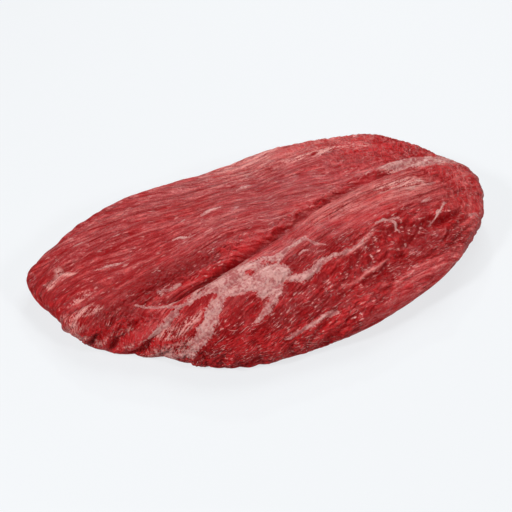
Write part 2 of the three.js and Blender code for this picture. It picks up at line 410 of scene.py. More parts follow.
def bumpy_strip(p, q):
    return stroke(BUMPY_STRIP, p, q + relief(STRIP_WANDER, p, q)) * (q > seam_at(p))


def pebbled_end(p, q):
    return smoothstep(*PEBBLED_FROM, p + PEBBLED_LEAN * q + relief(END_WANDER, p, q))


def creased_back(p, q):
    thick_half = smoothstep(*CREASED_FROM_P, p + relief(CREASES_WANDER, p, q))
    return thick_half * smoothstep(*CREASED_FROM_Q, q - CREASED_LEAN * p)


def short_lobes(p, q):
    return stroke(SHORT_LOBES, p, q + relief(LOBES_WANDER, p, q))


def torn_slope(p, q):
    return torn_share(p, q) * (1 - smooth_lip(p, q)) * (1 - 0.6 * pebbled_end(p, q))


# Relief that is too fine for the solid: the seam's sharp crease, and the meat that stays high behind it
CREASE = [(along, across + 0.6, height * 0.5) for along, across, height in SEAM]
BANK = [(along, across + 3.2, height * -0.38) for along, across, height in SEAM]
FINE_FOLDS = [(CREASE, 1.8, 1.3), (BANK, 4, 2.2)]
# Small ridges of sheath on the front slope and the hollows beside them, with their half widths
SLOPE_FOLDS = [
    ([(12, -72, 0), (21, -70.5, 0.9), (35, -68.5, 1.3), (50, -64.5, 0.9), (62, -61, 0)], 1.5),
    ([(38, -78, 0), (44, -78, 0.8), (54, -80.5, 1), (66, -77.5, 0.9), (78, -73.5, 0.4), (90, -72, 0)], 1.6),
    ([(84, -78, 0), (91, -76, 0.9), (102, -75, 1), (121, -72, 0.6), (130, -70, 0)], 1.6),
    ([(14, -56, 0), (21, -54.5, 0.8), (34, -53, 1.2), (42, -48, 1.2), (48, -44, 0.9), (54, -38, 0)], 1.8),
    ([(102, -50, 0), (99, -54, 0.9), (94, -61, 0.9), (90, -66, 0)], 1.4),
    ([(28, -71.5, 0), (38, -72, -1), (51, -70, -1.2), (70, -67, -1.2), (84, -63, -0.9), (98, -57, 0)], 3),
    ([(52, -46, 0), (60, -47, -0.8), (76, -50, -1), (90, -47, -0.7), (100, -44, 0)], 3),
]
SLOPE_WANDER = [(9, 7, 1.6, 141), (8, 6, 1.2, 143)]


def slope_folds(p, q):
    return sum(fold(path, width, width, *bent(SLOPE_WANDER, p, q)) for path, width in SLOPE_FOLDS)


# Threads of fibre on the calm meat, tatters on the torn slope, cross cuts on the bumpy strip, pebbles and
# creases on the thick end and the back, and cracks between the short lobes
BACK_THREADS = [(46, 4.3, 0.34, 101), (20, 2.3, 0.24, 103)]
FRONT_THREADS = [(40, 4.0, 0.34, 105), (18, 2.2, 0.24, 107)]
TWIST_P = (9, 7, 2.4, 109)
TWIST_Q = (8, 6, 1.4, 111)
TATTERS = [(17, 4.4, 0.5, 113), (5.5, 2.4, 0.34, 115)]
TATTER_GRAIN = (2.9, 1.7, 0.26, 117)
LONG_CUTS = (3.4, 7, 0.8, 127)
SHORT_CUTS = (2.6, 3.4, 0.6, 129)
PEBBLES = (5.5, 4.2, 0.42, 121)
PEBBLE_GAPS = (5.5, 12, 0.4, 119)
LONG_CREASES = (4.6, 15, 0.5, 123)
SHORT_CREASES = (3.0, 6, 0.25, 133)
CREASE_SWAY = (16, 16, 2.5, 131)
CRACKS = [(11, 4.2, 0.85, 135), (4.5, 2.6, 0.45, 137)]
# How far the cuts and the creases lean, how creased the thick end is, and how much smoother the lip is
CUT_LEAN = 0.3
CREASE_LEAN = (0.7, 0.5)
SHORT_CREASE_LEAN = 0.4
END_CREASES = 0.3
LIP_CALM = 0.6
# Both ends of the meat, where this relief too is half as high
BOTH_ENDS = (106, 130)


def fine_relief(p, q):
    back, front = across_grain(p, q)
    threads = lerp(
        sum(clefts(pattern, p, back) for pattern in BACK_THREADS),
        sum(clefts(pattern, p, front) for pattern in FRONT_THREADS),
        front_share(p, q),
    )
    twist_p = p + relief(TWIST_P, p, q)
    twist_q = front + relief(TWIST_Q, p, q)
    tatters = sum(clefts(pattern, twist_p, twist_q) for pattern in TATTERS) + relief(TATTER_GRAIN, p, q)
    cuts = clefts(LONG_CUTS, twist_p + CUT_LEAN * q, q) + clefts(SHORT_CUTS, twist_p, twist_q)
    pebbles = clefts(PEBBLES, twist_p, twist_q) - clefts(PEBBLE_GAPS, twist_p, q)
    crease_p = p + CREASE_LEAN[0] * q + relief(CREASE_SWAY, p, q)
    creases = clefts(LONG_CREASES, crease_p, q - CREASE_LEAN[1] * p)
    creases += clefts(SHORT_CREASES, p + SHORT_CREASE_LEAN * q, q)
    end = pebbled_end(p, q)
    calm = lerp(threads, pebbles, end) + (creased_back(p, q) + END_CREASES * end) * creases
    cracks = sum(clefts(pattern, twist_p, twist_q) for pattern in CRACKS)
    calm = lerp(calm, cracks, short_lobes(p, q))
    rough = lerp(lerp(calm, tatters, torn_slope(p, q)), cuts, bumpy_strip(p, q))
    rough *= (1 - LIP_CALM * smooth_lip(p, q)) * (1 - END_CALM * smoothstep(*BOTH_ENDS, np.abs(p)))
    for each in FINE_FOLDS:
        rough += fold(*each, p, q)
    return rough + slope_folds(p, q)


# The main relief and the fine one fade out over these heights above the table
RELIEF_CLEAR = 9
FINE_CLEAR = 4


def skin_point(u, v, swell, fine):
    at = smooth_form(u, v)
    along, across, out = skin_frame(u, v)
    height = smoothstep(0, RELIEF_CLEAR, at[..., 2]) * swell + smoothstep(0, FINE_CLEAR, at[..., 2]) * fine
    return at + out * height[..., None]


# Makes an object of a mesh, a lamp or a camera, and puts it in the scene
def add_object(name, data):
    thing = bpy.data.objects.new(name, data)
    bpy.context.collection.objects.link(thing)
    return thing


STEPS_ALONG = 290
STEPS_ACROSS = 320
u, v = np.meshgrid(
    np.linspace(-1, 1, STEPS_ALONG + 1), np.linspace(-1, 1, STEPS_ACROSS + 1), indexing="ij"
)
p = u * SKIN_HALF_P
q = v * SKIN_HALF_Q
fine = fine_relief(p, q)
points = skin_point(u, v, main_relief(p, q), fine)
ids = np.arange(points[..., 0].size).reshape(u.shape)
low, right, far_corner, left = ids[:-1, :-1], ids[1:, :-1], ids[1:, 1:], ids[:-1, 1:]
# Each square is split along the grain, but at two corners of the skin from the corner inwards
first = np.stack([low, right, far_corner], -1)
second = np.stack([low, far_corner, left], -1)
for i, j in ((-1, 0), (0, -1)):
    first[i, j] = (right[i, j], far_corner[i, j], left[i, j])
    second[i, j] = (right[i, j], left[i, j], low[i, j])
triangles = np.concatenate([first.reshape(-1, 3), second.reshape(-1, 3)])
rim = np.concatenate([ids[:-1, 0], ids[-1, :-1], ids[:0:-1, -1], ids[0, :0:-1]])
flat_points = points.reshape(-1, 3)
flat_points[rim, 2] = 0
muscle_mesh = bpy.data.meshes.new("muscle")
muscle_mesh.from_pydata(flat_points * MM, [], [*triangles.tolist(), rim[::-1].tolist()])
muscle_mesh.polygons.foreach_set("use_smooth", [True] * len(triangles) + [False])
muscle = add_object("muscle", muscle_mesh)


def keep_values(mesh, name, values):
    values = np.asarray(values, np.float32)
    if values.ndim == 3:
        mesh.attributes.new(name, "FLOAT_VECTOR", "POINT").data.foreach_set("vector", values.ravel())
    else:
        mesh.attributes.new(name, "FLOAT", "POINT").data.foreach_set("value", values.ravel())


# The strongest of several strokes
def strokes(paths, p, q):
    return np.max([stroke(path, p, q) for path in paths], axis=0)


# What the muscle's finish reads: mm along and across the grain behind and in front of the seam, the height
# of the fine relief, how torn and pebbled the meat is, its painted light and shade, its film, its painted
# sheen and how pale it is
back, front = across_grain(p, q)
keep_values(muscle_mesh, "back_grain", np.stack([p, back, 0 * p], -1))
keep_values(muscle_mesh, "front_grain", np.stack([p, front, 0 * p], -1))
keep_values(muscle_mesh, "front", front_share(p, q))
keep_values(muscle_mesh, "height", fine)
torn = torn_slope(p, q)
bumpy = bumpy_strip(p, q)
rough = np.maximum(torn, bumpy)
keep_values(muscle_mesh, "torn", rough)
pebbled = np.maximum(pebbled_end(p, q), 0.8 * creased_back(p, q))
keep_values(muscle_mesh, "pebbled", np.maximum(pebbled, short_lobes(p, q)) * (1 - rough))
# Painted shade: deep red in the seam, the hollows and the clefts of the thin end's lobes, partly the meat's
# own deeper red
PAINTED_SHADE_STROKES = [
    [
        (58, 2, 0.8), (40, -4.5, 1), (24, -9, 1.1), (8, -15, 1.1),
        (-12, -21.5, 1.2), (-36, -31, 1.8), (-56, -38, 2),
    ],
    [(-12, -45, 4), (4, -44, 5), (20, -46, 4), (34, -47, 3)],
    [(62, -45, 6), (78, -50, 8), (96, -48, 7), (110, -46, 6)],
    [(80, -60, 4), (94, -60, 5), (106, -58, 5)],
    [(92, -3, 3), (99, -5, 4), (104, -10, 3)],
    [(-30, -74, 6), (-8, -75, 5), (10, -74, 4)],
    [(-84, -57, 2), (-70, -55, 2.6), (-57, -52.5, 1.6)],
    [(-50, -62, 4), (-42, -60, 4), (-38, -63, 4)],
    [(-158, -49, 1.4), (-132, -47, 2.2), (-114, -40, 2)],
    [(-158, -64, 1.4), (-130, -57, 2.2), (-108, -50, 2)],
    [(-156, -78, 1.4), (-128, -72, 2.4), (-104, -64, 2)],
    [(-96, -84, 3), (-80, -82, 3), (-62, -76, 3), (-48, -68, 3)],
    [(-104, -13, 3), (-92, -13, 2)],
    [(-92, -28, 8), (-70, -29, 7), (-48, -27, 4)],
]
# Painted light: lighter red on the ridges, the lip, the thick end and parts of the back, with a thin painted
# highlight along the front crest at the seam
PAINTED_LIGHT_STROKES = [
    [(-152, -42, 5), (-130, -44, 5), (-114, -46, 4)],
    [(-152, -57, 5), (-128, -56, 5), (-110, -58, 4)],
    [(-140, -72, 4), (-118, -70, 5), (-100, -74, 4)],
    [(-70, -84, 6), (-46, -84, 6), (-20, -88, 6), (10, -90, 5)],
    [(40, -33, 3), (50, -31, 6), (58, -36, 6)],
    [(-14, -26, 1), (10, -18, 1.2), (36, -9, 1.2), (60, -1, 1.2)],
    [(-44, -24, 2), (-30, -20.5, 2), (-16, -17, 1.5)],
    [(98, 2, 7), (112, -4, 10), (122, -16, 10), (128, -34, 10), (124, -52, 6)],
    [(30, -92, 5), (60, -88, 6), (90, -82, 6), (120, -74, 6)],
    [(66, 36, 8), (84, 34, 6), (104, 37, 6)],
    [(-60, 62, 8), (-30, 62, 8), (8, 62, 8), (44, 56, 7)],
    [(-165, -30, 4), (-140, -28, 4)],
]
MARKS_WANDER = [(13, 9, 5, 151), (12, 8, 3, 153)]
marks_p, marks_q = bent(MARKS_WANDER, p, q)
ridges = slope_folds(p, q)
# The hollows beside the small ridges of sheath get painted shade too
painted_shade = np.maximum(strokes(PAINTED_SHADE_STROKES, marks_p, marks_q), np.clip(-ridges, 0, 1))
painted_light = strokes(PAINTED_LIGHT_STROKES, marks_p, marks_q)
# Painted shade darkens the back towards the thin end, and painted light lightens it along the far edge and at
# the thin end's tip
shade = smoothstep(70, 10, p) * smoothstep(-20, 0, q - 0.3 * p) * (1 - 0.6 * smoothstep(40, 80, q - 0.12 * p))
shade -= 0.6 * smoothstep(15, 60, q) * smoothstep(-10, 50, p) + 0.8 * smoothstep(112, 150, -p - 0.3 * q)
shade += 0.3 * smoothstep(-50, -90, p) * smoothstep(-10, 10, q)
# The tone holds all this painted light and shade
keep_values(muscle_mesh, "tone", painted_light - painted_shade - 1.15 * shade)
# The film is thickest along the far edge and thinner towards the thin end. Little is left of it on the torn
# slope and under the painted shade, and it covers the small ridges of sheath.
far_edge = smoothstep(20, 62, q - 0.12 * p)
film = lerp(0.35, 1, smoothstep(-140, -100, p)) * (0.6 + 0.4 * far_edge)
film *= 1 - 0.25 * smoothstep(-20, -80, p)
film *= (1 - 0.85 * torn) * (1 + bumpy * lerp(0.4, -0.5, smoothstep(10, -40, p)))
keep_values(muscle_mesh, "film", np.maximum(film * (1 - 0.7 * painted_shade), np.clip(0.8 * ridges, 0, 0.9)))
# Painted sheen makes the film paler along the far edge, round the thick end and on the ridges, and a painted
# highlight lies on the facet in front of the seam
FACET = [(20, -22, 7), (50, -17, 12), (86, -14, 13)]
painted_sheen = np.maximum(far_edge * smoothstep(-50, 20, p), 0.7 * smoothstep(92, 120, p))
painted_sheen = np.maximum(painted_sheen, 0.8 * stroke(FACET, marks_p, marks_q))
keep_values(muscle_mesh, "painted_sheen", np.maximum(painted_sheen, np.clip(0.7 * ridges, 0, 0.7)))
# Pale veils of sheath, and a painted highlight on the facet in front of the seam
PALE_STROKES = [
    [(28, 42, 1.5), (48, 40, 2.5), (62, 37, 3), (80, 38, 2)],
    [(-136, -6, 3), (-126, -8, 4.5), (-116, -11, 3)],
    [(-128, 16, 2), (-117, 20, 3), (-110, 14, 2)],
    [(-166, -22, 4), (-150, -26, 6), (-132, -31, 4)],
    [(-166, -36, 2), (-150, -39, 3), (-136, -42, 2)],
    [(-135, -22, 3), (-118, -24, 4)],
    [(-166, -29, 2), (-152, -33, 2.5), (-138, -37, 2)],
    [(-162, -8, 2), (-150, -14, 3), (-136, -15, 2)],
    [(-150, -52, 1.5), (-128, -52, 2), (-112, -54, 1.5)],
    [(-146, -66, 1.5), (-124, -65, 2), (-104, -68, 1.5)],
    # A painted highlight on the facet in front of the seam
    [(58, -14, 3), (70, -13, 5), (82, -12, 6), (90, -12, 3)],
    [(74, 6, 4), (92, 9, 7), (118, 11, 7)],
    [(-150, -88, 5), (-126, -83, 7), (-102, -80, 5), (-86, -76, 3)],
    [(-110, -70, 2), (-92, -66, 3), (-74, -62, 2)],
]
keep_values(muscle_mesh, "pale", strokes(PALE_STROKES, marks_p, marks_q))


# An sRGB colour in hex as linear red, green, blue and alpha
def linear(hex_colour):
    shares = [int(hex_colour[k:k + 2], 16) / 255 for k in (1, 3, 5)]
    return [c / 12.92 if c <= 0.04045 else ((c + 0.055) / 1.055) ** 2.4 for c in shares] + [1]


# Adds a node. Settings are its properties. Inputs go by name or place, and each is a value, a socket, or a
# node, which stands for its first output that is in use.
def add_node(tree, kind, settings=None, inputs=None):
    node = tree.nodes.new(kind)
    for name, value in (settings or {}).items():
        setattr(node, name, value)
    for name, value in (inputs or {}).items():
        if isinstance(value, bpy.types.Node):
            value = next(socket for socket in value.outputs if socket.enabled)
        if isinstance(value, bpy.types.NodeSocket):
            tree.links.new(value, node.inputs[name])
        else:
            node.inputs[name].default_value = value
    return node


# Raw lean beef, cut and torn, moist: deep red in the clefts, deepened there by painted shade, duller and
# pinker on the ridges where the silvery film of the muscle's sheath is left and a painted sheen lies, with a
# wet gloss that breaks up on the fibres. The patterns' sizes are in mm, along the grain and across it. Real
# fibres are finer, but wouldn't show.
DEEP_RED = "#860004"
LEAN_RED = "#9c060b"
FRESH_RED = "#b5191d"
FILM_PINK = "#a34446"
FILM_PALE = "#cf827c"
VEIL_PINK = "#dca29a"
# Pale flecks of fat and sheath, partly painted glints
FLECK_AND_GLINT_PINK = "#dc9f98"
LACE_PINK = "#c08480"
STREAK_MM = (48, 2.4)
FIBRE_MM = (7, 1.1)
BUNDLE_MM = (26, 2.6)
FILM_MM = (34, 6)
FURROW_MM = (84, 4.4)
BEAD_MM = (4.2, 1.7)
RIPPLE_MM = (4.4, 10)
FLECK_MM = (4.4, 0.8)
CLOT_MM = 4.5
GRIT_MM = 1.0
WET_MM = 9
MEAT_BUMP_MM = 1.1
WET_BUMP_MM = 0.75

lean = bpy.data.materials.new("raw lean beef, moist")
lean.use_nodes = True
tree = lean.node_tree
tree.nodes.clear()
place = add_node(tree, "ShaderNodeTexCoord").outputs["Object"]
values = {}
for name in ("front", "tone", "fat", "height", "torn", "pebbled", "film", "painted_sheen", "pale"):
    values[name] = add_node(tree, "ShaderNodeAttribute", {"attribute_name": name}).outputs["Fac"]
# Noises drawn out along the grain, each faded over from the back's grain to the front's
noises = {}
for name, (along, across), detail in (
    ("streaks", STREAK_MM, 4), ("fibres", FIBRE_MM, 3), ("film patches", FILM_MM, 3),
    ("furrows", FURROW_MM, 1), ("bundles", BUNDLE_MM, 1), ("ripples", RIPPLE_MM, 1),
    ("flecks", FLECK_MM, 1), ("beads", BEAD_MM, 0),
):
    shift = 3.1 + 2.3 * len(noises)
    halves = []
    for grain_name in ("back_grain", "front_grain"):
        grain = add_node(tree, "ShaderNodeAttribute", {"attribute_name": grain_name})
        scaled = add_node(tree, "ShaderNodeMapping", inputs={
            "Vector": grain.outputs["Vector"],
            "Location": (shift, shift, shift),
            "Scale": (1 / along, 1 / across, 0),
        })
        if name == "beads":
            halves.append(add_node(tree, "ShaderNodeTexVoronoi", {
                "voronoi_dimensions": "2D", "feature": "SMOOTH_F1",
            }, {"Vector": scaled, "Scale": 1.0, "Smoothness": 0.35}))
        else:
            halves.append(add_node(tree, "ShaderNodeTexNoise", {"noise_dimensions": "2D"}, {
                "Vector": scaled, "Scale": 1.0, "Detail": detail, "Roughness": 0.6,
            }))
    noises[name] = add_node(tree, "ShaderNodeMix", inputs={
        "Factor": values["front"], "A": halves[0], "B": halves[1],
    })
# Noises that are the same in every direction
for name, pitch, detail in (("clots", CLOT_MM, 3), ("grit", GRIT_MM, 2), ("wet", WET_MM, 2)):
    noises[name] = add_node(tree, "ShaderNodeTexNoise", inputs={
        "Vector": place, "Scale": 1 / (pitch * MM), "Detail": detail, "Roughness": 0.6,
    })
# Rounded strips with narrow furrows between them, where the noise crosses its middle: 0 in a furrow and 1 on
# a crown
for name, width in (("furrows", 0.05), ("bundles", 0.13), ("ripples", 0.1)):
    offset = add_node(tree, "ShaderNodeMath", {"operation": "SUBTRACT"}, {0: noises[name], 1: 0.5})
    from_furrow = add_node(tree, "ShaderNodeMath", {"operation": "ABSOLUTE"}, {0: offset})
    share = add_node(tree, "ShaderNodeMapRange", inputs={
        "Value": from_furrow, "From Min": 0.0, "From Max": width,
    })
    noises[name] = add_node(tree, "ShaderNodeMath", {"operation": "POWER"}, {0: share, 1: 0.6})
# Ripples are narrow crests instead, 1 on a crest
noises["ripples"] = add_node(tree, "ShaderNodeMath", {"operation": "SUBTRACT"}, {
    0: 1.0, 1: noises["ripples"],
})
# Wet beads of torn fibre ends, 1 on a crown and 0 between them
noises["beads"] = add_node(tree, "ShaderNodeMapRange", {"interpolation_type": "SMOOTHSTEP"}, {
    "Value": noises["beads"], "From Min": 0.1, "From Max": 0.75, "To Min": 1.0, "To Max": 0.0,
})
# How light the meat is and how high it stands: fibres on the calm parts, pebbles and ripples on the pebbled
# ones, and clots and beads on the torn ones. In the tone, the furrows and the gaps between beads are painted
# shade.
sums = {}
for label, start, weights in (
    ("calm tone", -0.49, {"streaks": 0.28, "fibres": 0.92, "bundles": 0.08, "furrows": 0.3, "grit": 0.2}),
    ("pebbled tone", -0.4, {"streaks": 0.25, "ripples": 0.25, "grit": 0.75, "clots": 0.5, "beads": 0.12}),
    ("torn tone", -0.6, {
        "clots": 0.4, "beads": 0.14, "grit": 0.55, "fibres": 0.35, "streaks": 0.45, "furrows": 0.12,
    }),
    ("calm height", 0.0, {"furrows": 0.4, "bundles": 0.15, "fibres": 1.1, "grit": 0.4, "streaks": 0.2}),
    ("pebbled height", 0.0, {"ripples": 0.8, "grit": 1.2, "fibres": 0.6, "beads": 0.4, "clots": 0.8}),
    ("torn height", 0.0, {"beads": 0.9, "grit": 0.9, "fibres": 0.9, "furrows": 0.4, "streaks": 0.6}),
):
    total = start
    for name, weight in weights.items():
        total = add_node(tree, "ShaderNodeMath", {"operation": "MULTIPLY_ADD"}, {
            0: noises[name], 1: weight, 2: total,
        })
    sums[label] = total
for label in ("tone", "height"):
    untorn = add_node(tree, "ShaderNodeMix", inputs={
        "Factor": values["pebbled"], "A": sums["calm " + label], "B": sums["pebbled " + label],
    })
    sums[label] = add_node(tree, "ShaderNodeMix", inputs={
        "Factor": values["torn"], "A": untorn, "B": sums["torn " + label],
    })
# Painted shade: the meat is coloured lighter on top of the relief and darker in its clefts, and the tone's
# painted light and shade are added
lean_value = sums["tone"]
for name, weight in (("height", 0.16), ("tone", 0.12)):
    lean_value = add_node(tree, "ShaderNodeMath", {"operation": "MULTIPLY_ADD"}, {
        0: values[name], 1: weight, 2: lean_value,
    })
lean_tone = add_node(tree, "ShaderNodeValToRGB", inputs={"Fac": lean_value})
stops = lean_tone.color_ramp.elements
stops[0].position = 0.37
stops[0].color = linear(DEEP_RED)
stops[1].position = 0.66
stops[1].color = linear(FRESH_RED)
middle = stops.new(0.5)
middle.color = linear(LEAN_RED)
threads = add_node(tree, "ShaderNodeMix", inputs={
    "Factor": 0.5, "A": noises["streaks"], "B": noises["fibres"],
})
threads = add_node(tree, "ShaderNodeMix", inputs={"Factor": 0.3, "A": threads, "B": noises["grit"]})
lace = add_node(tree, "ShaderNodeMix", inputs={"Factor": 0.6, "A": noises["clots"], "B": noises["grit"]})
# How much of each layer shows: what it follows, where that starts and ends, and the share at either end
shares = {}
for name, value, low, high, least, most in (
    ("film", noises["film patches"], 0.36, 0.5, 0.45, 1.0),
    ("film on fibres", threads, 0.43, 0.51, 0.25, 1.0),
    ("film on furrows", noises["furrows"], 0.0, 1.0, 0.15, 1.05),
    ("film on ripples", noises["ripples"], 0.0, 1.0, 0.0, 1.2),
    ("pale film", threads, 0.5, 0.57, -0.15, 0.55),
    ("veils", threads, 0.47, 0.55, 0.0, 0.75),
    ("flecks", noises["flecks"], 0.655, 0.72, 0.0, 0.8),
    ("torn flecks", values["torn"], 0.0, 1.0, 0.55, 1.0),
    ("fleck clusters", noises["wet"], 0.44, 0.58, 0.15, 1.0),
    ("lace", lace, 0.4, 0.6, -1.0, 1.0),
    ("wet", noises["wet"], 0.4, 0.6, 0.15, 0.9),
):
    shares[name] = add_node(tree, "ShaderNodeMapRange", inputs={
        "Value": value, "From Min": low, "From Max": high, "To Min": least, "To Max": most,
    })
# The film lies in long patches, thinner between the fibres and in the furrows, pale veils are broken along
# the fibres, and flecks of fat and sheath, partly painted glints, come in clusters where the meat is wet,
# most of them on the torn parts
for name, factor in (
    ("film", shares["film on fibres"]),
    ("film", shares["film on furrows"]),
    ("veils", values["pale"]),
    ("flecks", shares["torn flecks"]),
    ("flecks", shares["fleck clusters"]),
):
    shares[name] = add_node(tree, "ShaderNodeMath", {"operation": "MULTIPLY"}, {0: shares[name], 1: factor})
# On the pebbled parts the film is left on the ripples' crests. It is paler on the crowns of the fibres.
film_share = add_node(tree, "ShaderNodeMix", inputs={
    "Factor": values["pebbled"], "A": shares["film"], "B": shares["film on ripples"],
})
film_share = add_node(tree, "ShaderNodeMath", {"operation": "MULTIPLY"}, {0: film_share, 1: values["film"]})
# The painted sheen and highlight make the film paler
paleness = add_node(tree, "ShaderNodeMath", {"operation": "ADD"}, {
    0: values["painted_sheen"], 1: shares["pale film"],
})
film_tone = add_node(tree, "ShaderNodeMix", {"data_type": "RGBA"}, {
    0: paleness, 6: linear(FILM_PINK), 7: linear(FILM_PALE),
})
# Thin fat round the edges of the patches, broken into lace
lace = add_node(tree, "ShaderNodeMath", {"operation": "ADD"}, {0: shares["lace"], 1: values["fat"]})
lace_share = add_node(tree, "ShaderNodeMapRange", inputs={"Value": lace, "From Max": 0.5, "To Max": 0.85})
colour = lean_tone
for share, cover in (
    (film_share, film_tone),
    (shares["veils"], linear(VEIL_PINK)),
    (shares["flecks"], linear(FLECK_AND_GLINT_PINK)),
    (lace_share, linear(LACE_PINK)),
):
    colour = add_node(tree, "ShaderNodeMix", {"data_type": "RGBA"}, {0: share, 6: colour, 7: cover})
# The wet skin over the meat is a little smoother than the meat
bump, wet_bump = (
    add_node(tree, "ShaderNodeBump", inputs={
        "Strength": 1.0, "Distance": depth * MM, "Height": sums["height"],
    })
    for depth in (MEAT_BUMP_MM, WET_BUMP_MM)
)
meat = add_node(tree, "ShaderNodeBsdfPrincipled", inputs={
    "Base Color": colour,
    "Roughness": 0.4,
    "IOR": 1.2,
    "Subsurface Weight": 0.2,
    "Subsurface Radius": (1.0, 0.12, 0.1),
    "Subsurface Scale": 0.0008,
    "Coat Weight": shares["wet"],
    "Coat IOR": 1.34,
    "Coat Roughness": 0.08,
    "Normal": bump,
    "Coat Normal": wet_bump,
})
add_node(tree, "ShaderNodeOutputMaterial", inputs={"Surface": meat})
muscle_mesh.materials.append(lean)
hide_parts("flank")
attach(muscle, "root")

# The torn strands. Where the muscle was pulled off its neighbour, short ends of fibre and sheath stay on the
# front slope. They lie along the grain, and the wet surface holds them down.
STRAND_LENGTH = 5
STRAND_THICK = 0.28
STRAND_RISE = 0.5
STRAND_SINK = 0.45
# Its tip, its middle and its other tip, as shares of its length along it and to its side
STRAND_BEND = [(-0.5, 0.1), (0.1, -0.16), (0.5, 0.12)]
STRAND_SEGMENTS = 7
STRAND_SIDES = 5
# How far a strand is turned off the grain at most, in radians, and its least and greatest scale
STRAND_TWIST = (0.1, 0.1, 0.6)
STRAND_LEAST = (0.4, 0.5, 0.7)
STRAND_MOST = (1.7, 1.4, 1.3)
STRANDS_PER_CM2 = 8
STRAND_CLUMPS = (11, 7, 1, 161)
STRAND_CLEAR = (5, 9)
STRAND_SEED = 12
GRAIN_STEP = 0.5


# How far the fibres run across the skin for each millimetre along it
def grain_slope(p, q):
    ahead = front_share(p, q)
    here = lerp(*across_grain(p, q), ahead)
    farther = lerp(*across_grain(p + GRAIN_STEP, q), ahead)
    beside = lerp(*across_grain(p, q + GRAIN_STEP), ahead)
    return -(farther - here) / (beside - here)


# A tree of geometry nodes with named inputs. Gives the tree, its input node, and the inputs' identifiers.
def new_tree(name, inputs):
    tree = bpy.data.node_groups.new(name, "GeometryNodeTree")
    tree.interface.new_socket("Geometry", in_out="INPUT", socket_type="NodeSocketGeometry")
    tree.interface.new_socket("Geometry", in_out="OUTPUT", socket_type="NodeSocketGeometry")
    sockets = {}
    for label, kind in inputs:
        sockets[label] = tree.interface.new_socket(label, in_out="INPUT", socket_type=kind).identifier
    return tree, add_node(tree, "NodeGroupInput"), sockets


# Runs a tree on a mesh, and gives its result as a plain object
def grown(name, source, tree, sockets, settings):
    piece = add_object(name, source)
    modifier = piece.modifiers.new("growth", "NODES")
    modifier.node_group = tree
    for label, value in settings.items():
        modifier[sockets[label]] = value
    evaluated = piece.evaluated_get(bpy.context.evaluated_depsgraph_get())
    mesh = bpy.data.meshes.new_from_object(evaluated)
    piece.modifiers.remove(modifier)
    piece.data = mesh
    mesh.name = name
    bpy.data.meshes.remove(source)
    return piece


# Wet sheath and fibre ends: thin, pinkish grey and shiny, some paler than others
STRAND_PINK = "#b0504e"
STRAND_PALE = "#c6837e"
strand_stuff = bpy.data.materials.new("torn sheath and fibre, wet")
strand_stuff.use_nodes = True
tree = strand_stuff.node_tree
tree.nodes.clear()
paleness = add_node(tree, "ShaderNodeAttribute", {"attribute_name": "paleness"}).outputs["Fac"]
strand_tone = add_node(tree, "ShaderNodeMix", {"data_type": "RGBA"}, {
    0: paleness, 6: linear(STRAND_PINK), 7: linear(STRAND_PALE),
})
sheath = add_node(tree, "ShaderNodeBsdfPrincipled", inputs={
    "Base Color": strand_tone,
    "Roughness": 0.35,
    "IOR": 1.38,
    "Coat Weight": 0.8,
    "Coat IOR": 1.38,
    "Coat Roughness": 0.08,
})
add_node(tree, "ShaderNodeOutputMaterial", inputs={"Surface": sheath})

tree, given, sockets = new_tree("torn strands", [
    ("Strands per square metre", "NodeSocketFloat"),
    ("Length", "NodeSocketFloat"),
    ("Thickness", "NodeSocketFloat"),
    ("Rise", "NodeSocketFloat"),
    ("Sink", "NodeSocketFloat"),
    ("Seed", "NodeSocketInt"),
    ("Material", "NodeSocketMaterial"),
])
share = add_node(tree, "GeometryNodeInputNamedAttribute", inputs={"Name": "strand_share"})
density = add_node(tree, "ShaderNodeMath", {"operation": "MULTIPLY"}, {
    0: share.outputs["Attribute"], 1: given.outputs["Strands per square metre"],
})
spots = add_node(tree, "GeometryNodeDistributePointsOnFaces", inputs={
    "Mesh": given.outputs["Geometry"], "Density": density, "Seed": given.outputs["Seed"],
})
# One strand: a low arch with its tips under the meat's surface, thickest in the middle
down = add_node(tree, "ShaderNodeMath", {"operation": "MULTIPLY"}, {0: given.outputs["Sink"], 1: -1.0})
tips = []
for along, across in STRAND_BEND:
    x, y = (
        add_node(tree, "ShaderNodeMath", {"operation": "MULTIPLY"}, {0: given.outputs["Length"], 1: part})
        for part in (along, across)
    )
    z = given.outputs["Rise"] if len(tips) == 1 else down
    tips.append(add_node(tree, "ShaderNodeCombineXYZ", inputs={"X": x, "Y": y, "Z": z}))
arch = add_node(tree, "GeometryNodeCurveQuadraticBezier", inputs={
    "Resolution": STRAND_SEGMENTS, "Start": tips[0], "Middle": tips[1], "End": tips[2],
})
way = add_node(tree, "GeometryNodeSplineParameter")
half_turn = add_node(tree, "ShaderNodeMath", {"operation": "MULTIPLY"}, {
    0: way.outputs["Factor"], 1: math.pi,
})
taper = add_node(tree, "ShaderNodeMath", {"operation": "SINE"}, {0: half_turn})
taper = add_node(tree, "ShaderNodeMath", {"operation": "MULTIPLY_ADD"}, {0: taper, 1: 0.45, 2: 0.05})
radius = add_node(tree, "ShaderNodeMath", {"operation": "MULTIPLY"}, {
    0: taper, 1: given.outputs["Thickness"],
})
ring = add_node(tree, "GeometryNodeCurvePrimitiveCircle", inputs={"Resolution": STRAND_SIDES, "Radius": 1.0})
strand = add_node(tree, "GeometryNodeCurveToMesh", inputs={
    "Curve": arch, "Profile Curve": ring.outputs["Curve"], "Scale": radius, "Fill Caps": True,
})
grain = add_node(tree, "GeometryNodeInputNamedAttribute", {"data_type": "FLOAT_VECTOR"}, {
    "Name": "grain_way",
})
facing = add_node(tree, "FunctionNodeAxesToRotation", {"primary_axis": "Z", "secondary_axis": "X"}, {
    0: spots.outputs["Normal"], 1: grain.outputs["Attribute"],
})
